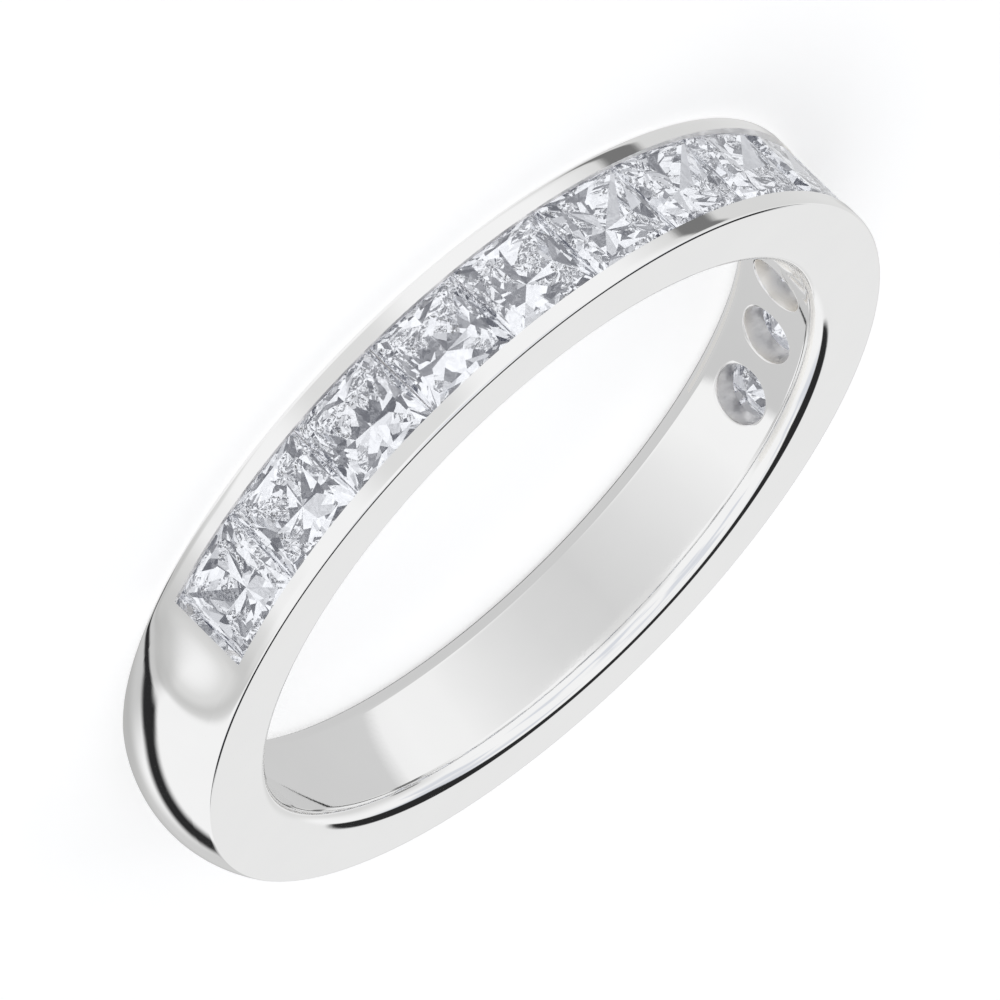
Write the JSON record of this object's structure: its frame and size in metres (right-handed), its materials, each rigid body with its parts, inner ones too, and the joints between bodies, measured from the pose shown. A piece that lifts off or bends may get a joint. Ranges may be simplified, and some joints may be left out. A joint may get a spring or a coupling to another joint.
{
  "type": "channel set band ring",
  "caption": "Polished finger ring with a domed shank and a row of square cut stones held in a channel between two rails.",
  "frame": {"origin": "centre of the finger hole, in the middle of the band's width", "axes": "+Z along the finger hole's axis, -Y towards the middle of the row of stones; the ring lies on its -Z side face"},
  "size_m": [0.0212, 0.0212, 0.003],
  "materials": {
    "metal": "mirror polished white precious metal",
    "stone": "clear faceted gemstone, polished facets"
  },
  "bodies": {
    "root": {"band": "metal", "stone_01": "stone", "stone_02": "stone", "stone_03": "stone", "stone_04": "stone", "stone_05": "stone", "stone_06": "stone", "stone_07": "stone", "stone_08": "stone", "stone_09": "stone", "stone_10": "stone", "stone_11": "stone", "stone_12": "stone", "stone_13": "stone"}
  },
  "joints": []
}
